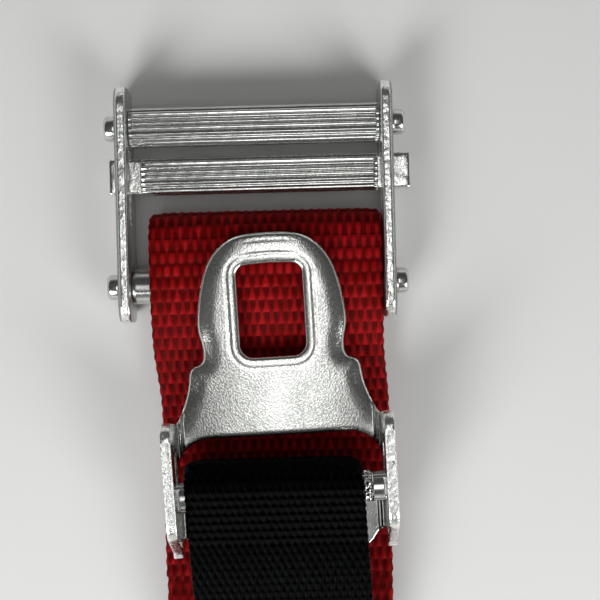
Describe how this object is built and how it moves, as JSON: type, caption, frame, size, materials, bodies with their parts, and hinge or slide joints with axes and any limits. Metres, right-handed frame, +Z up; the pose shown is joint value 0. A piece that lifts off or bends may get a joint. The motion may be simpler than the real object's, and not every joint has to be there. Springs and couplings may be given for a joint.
{
  "type": "racing harness strap end",
  "caption": "Racing harness strap end: red webbing with a three-bar adjuster, a slotted latch tongue with its own slide adjuster on black webbing, and a bolt-in anchor bracket.",
  "frame": {"origin": "middle of the object's footprint on the surface it lies on", "axes": "+Y along the straps from the anchor bracket to the adjuster, +Z up, +X to the right seen from above"},
  "size_m": [0.0676, 0.2543, 0.0276],
  "materials": {
    "zinc_plated_plate": "bright plated sheet steel with rough sheared edges",
    "zinc_plated_bar": "bright plated round bar, fluted or smooth",
    "nickel_plated_tongue": "satin nickel-bright plate with a fine speckle and coined rims",
    "knurled_steel": "diamond knurled bar with smooth collars",
    "red_webbing": "coarse woven polyester webbing, deep red",
    "black_webbing": "woven polyester webbing, black",
    "red_thread": "bonded sewing thread, dark red",
    "black_thread": "bonded sewing thread, black"
  },
  "bodies": {
    "webbing": {"red_strap": "red_webbing", "black_strap_sewn_end": "black_webbing", "red_loop_stitching": "red_thread", "anchor_stitching": "black_thread"},
    "loop_bar": {"loop_bar": "zinc_plated_bar"},
    "adjuster_frame": {"adjuster_plate_left": "zinc_plated_plate", "adjuster_plate_right": "zinc_plated_plate", "fixed_fluted_bar": "zinc_plated_bar"},
    "lock_bar": {"sliding_lock_bar": "zinc_plated_bar"},
    "tongue_strap": {"black_strap_loop": "black_webbing", "tail_stitching": "black_thread", "knurled_slide_bar": "knurled_steel"},
    "tongue": {"tongue_frame": "nickel_plated_tongue"},
    "anchor": {"anchor_bracket": "zinc_plated_plate"}
  },
  "joints": [
    {"name": "loop_bar_travel", "type": "slide", "parent": "webbing", "child": "loop_bar", "axis": [0, 1, 0], "range_m": [0, 0.0104]},
    {"name": "adjuster_swing", "type": "hinge", "parent": "loop_bar", "child": "adjuster_frame", "pos_m": [-0.00025, 0.08365, 0.008], "axis": [1, 0, 0], "range_deg": [0, 90]},
    {"name": "lock_bar_travel", "type": "slide", "parent": "adjuster_frame", "child": "lock_bar", "axis": [0, 1, 0], "range_m": [-0.0032, 0.0018]},
    {"name": "tongue_lift", "type": "hinge", "parent": "webbing", "child": "tongue_strap", "pos_m": [0, -0.03135, 0.0059], "axis": [1, 0, 0], "range_deg": [0, 70]},
    {"name": "tongue_travel", "type": "slide", "parent": "tongue_strap", "child": "tongue", "axis": [0.0346, -0.9915, -0.1253], "range_m": [0, 0.0042]},
    {"name": "anchor_swing", "type": "hinge", "parent": "webbing", "child": "anchor", "pos_m": [0.00275, -0.08235, 0.0059], "axis": [-1, 0, 0], "range_deg": [0, 90]}
  ]
}
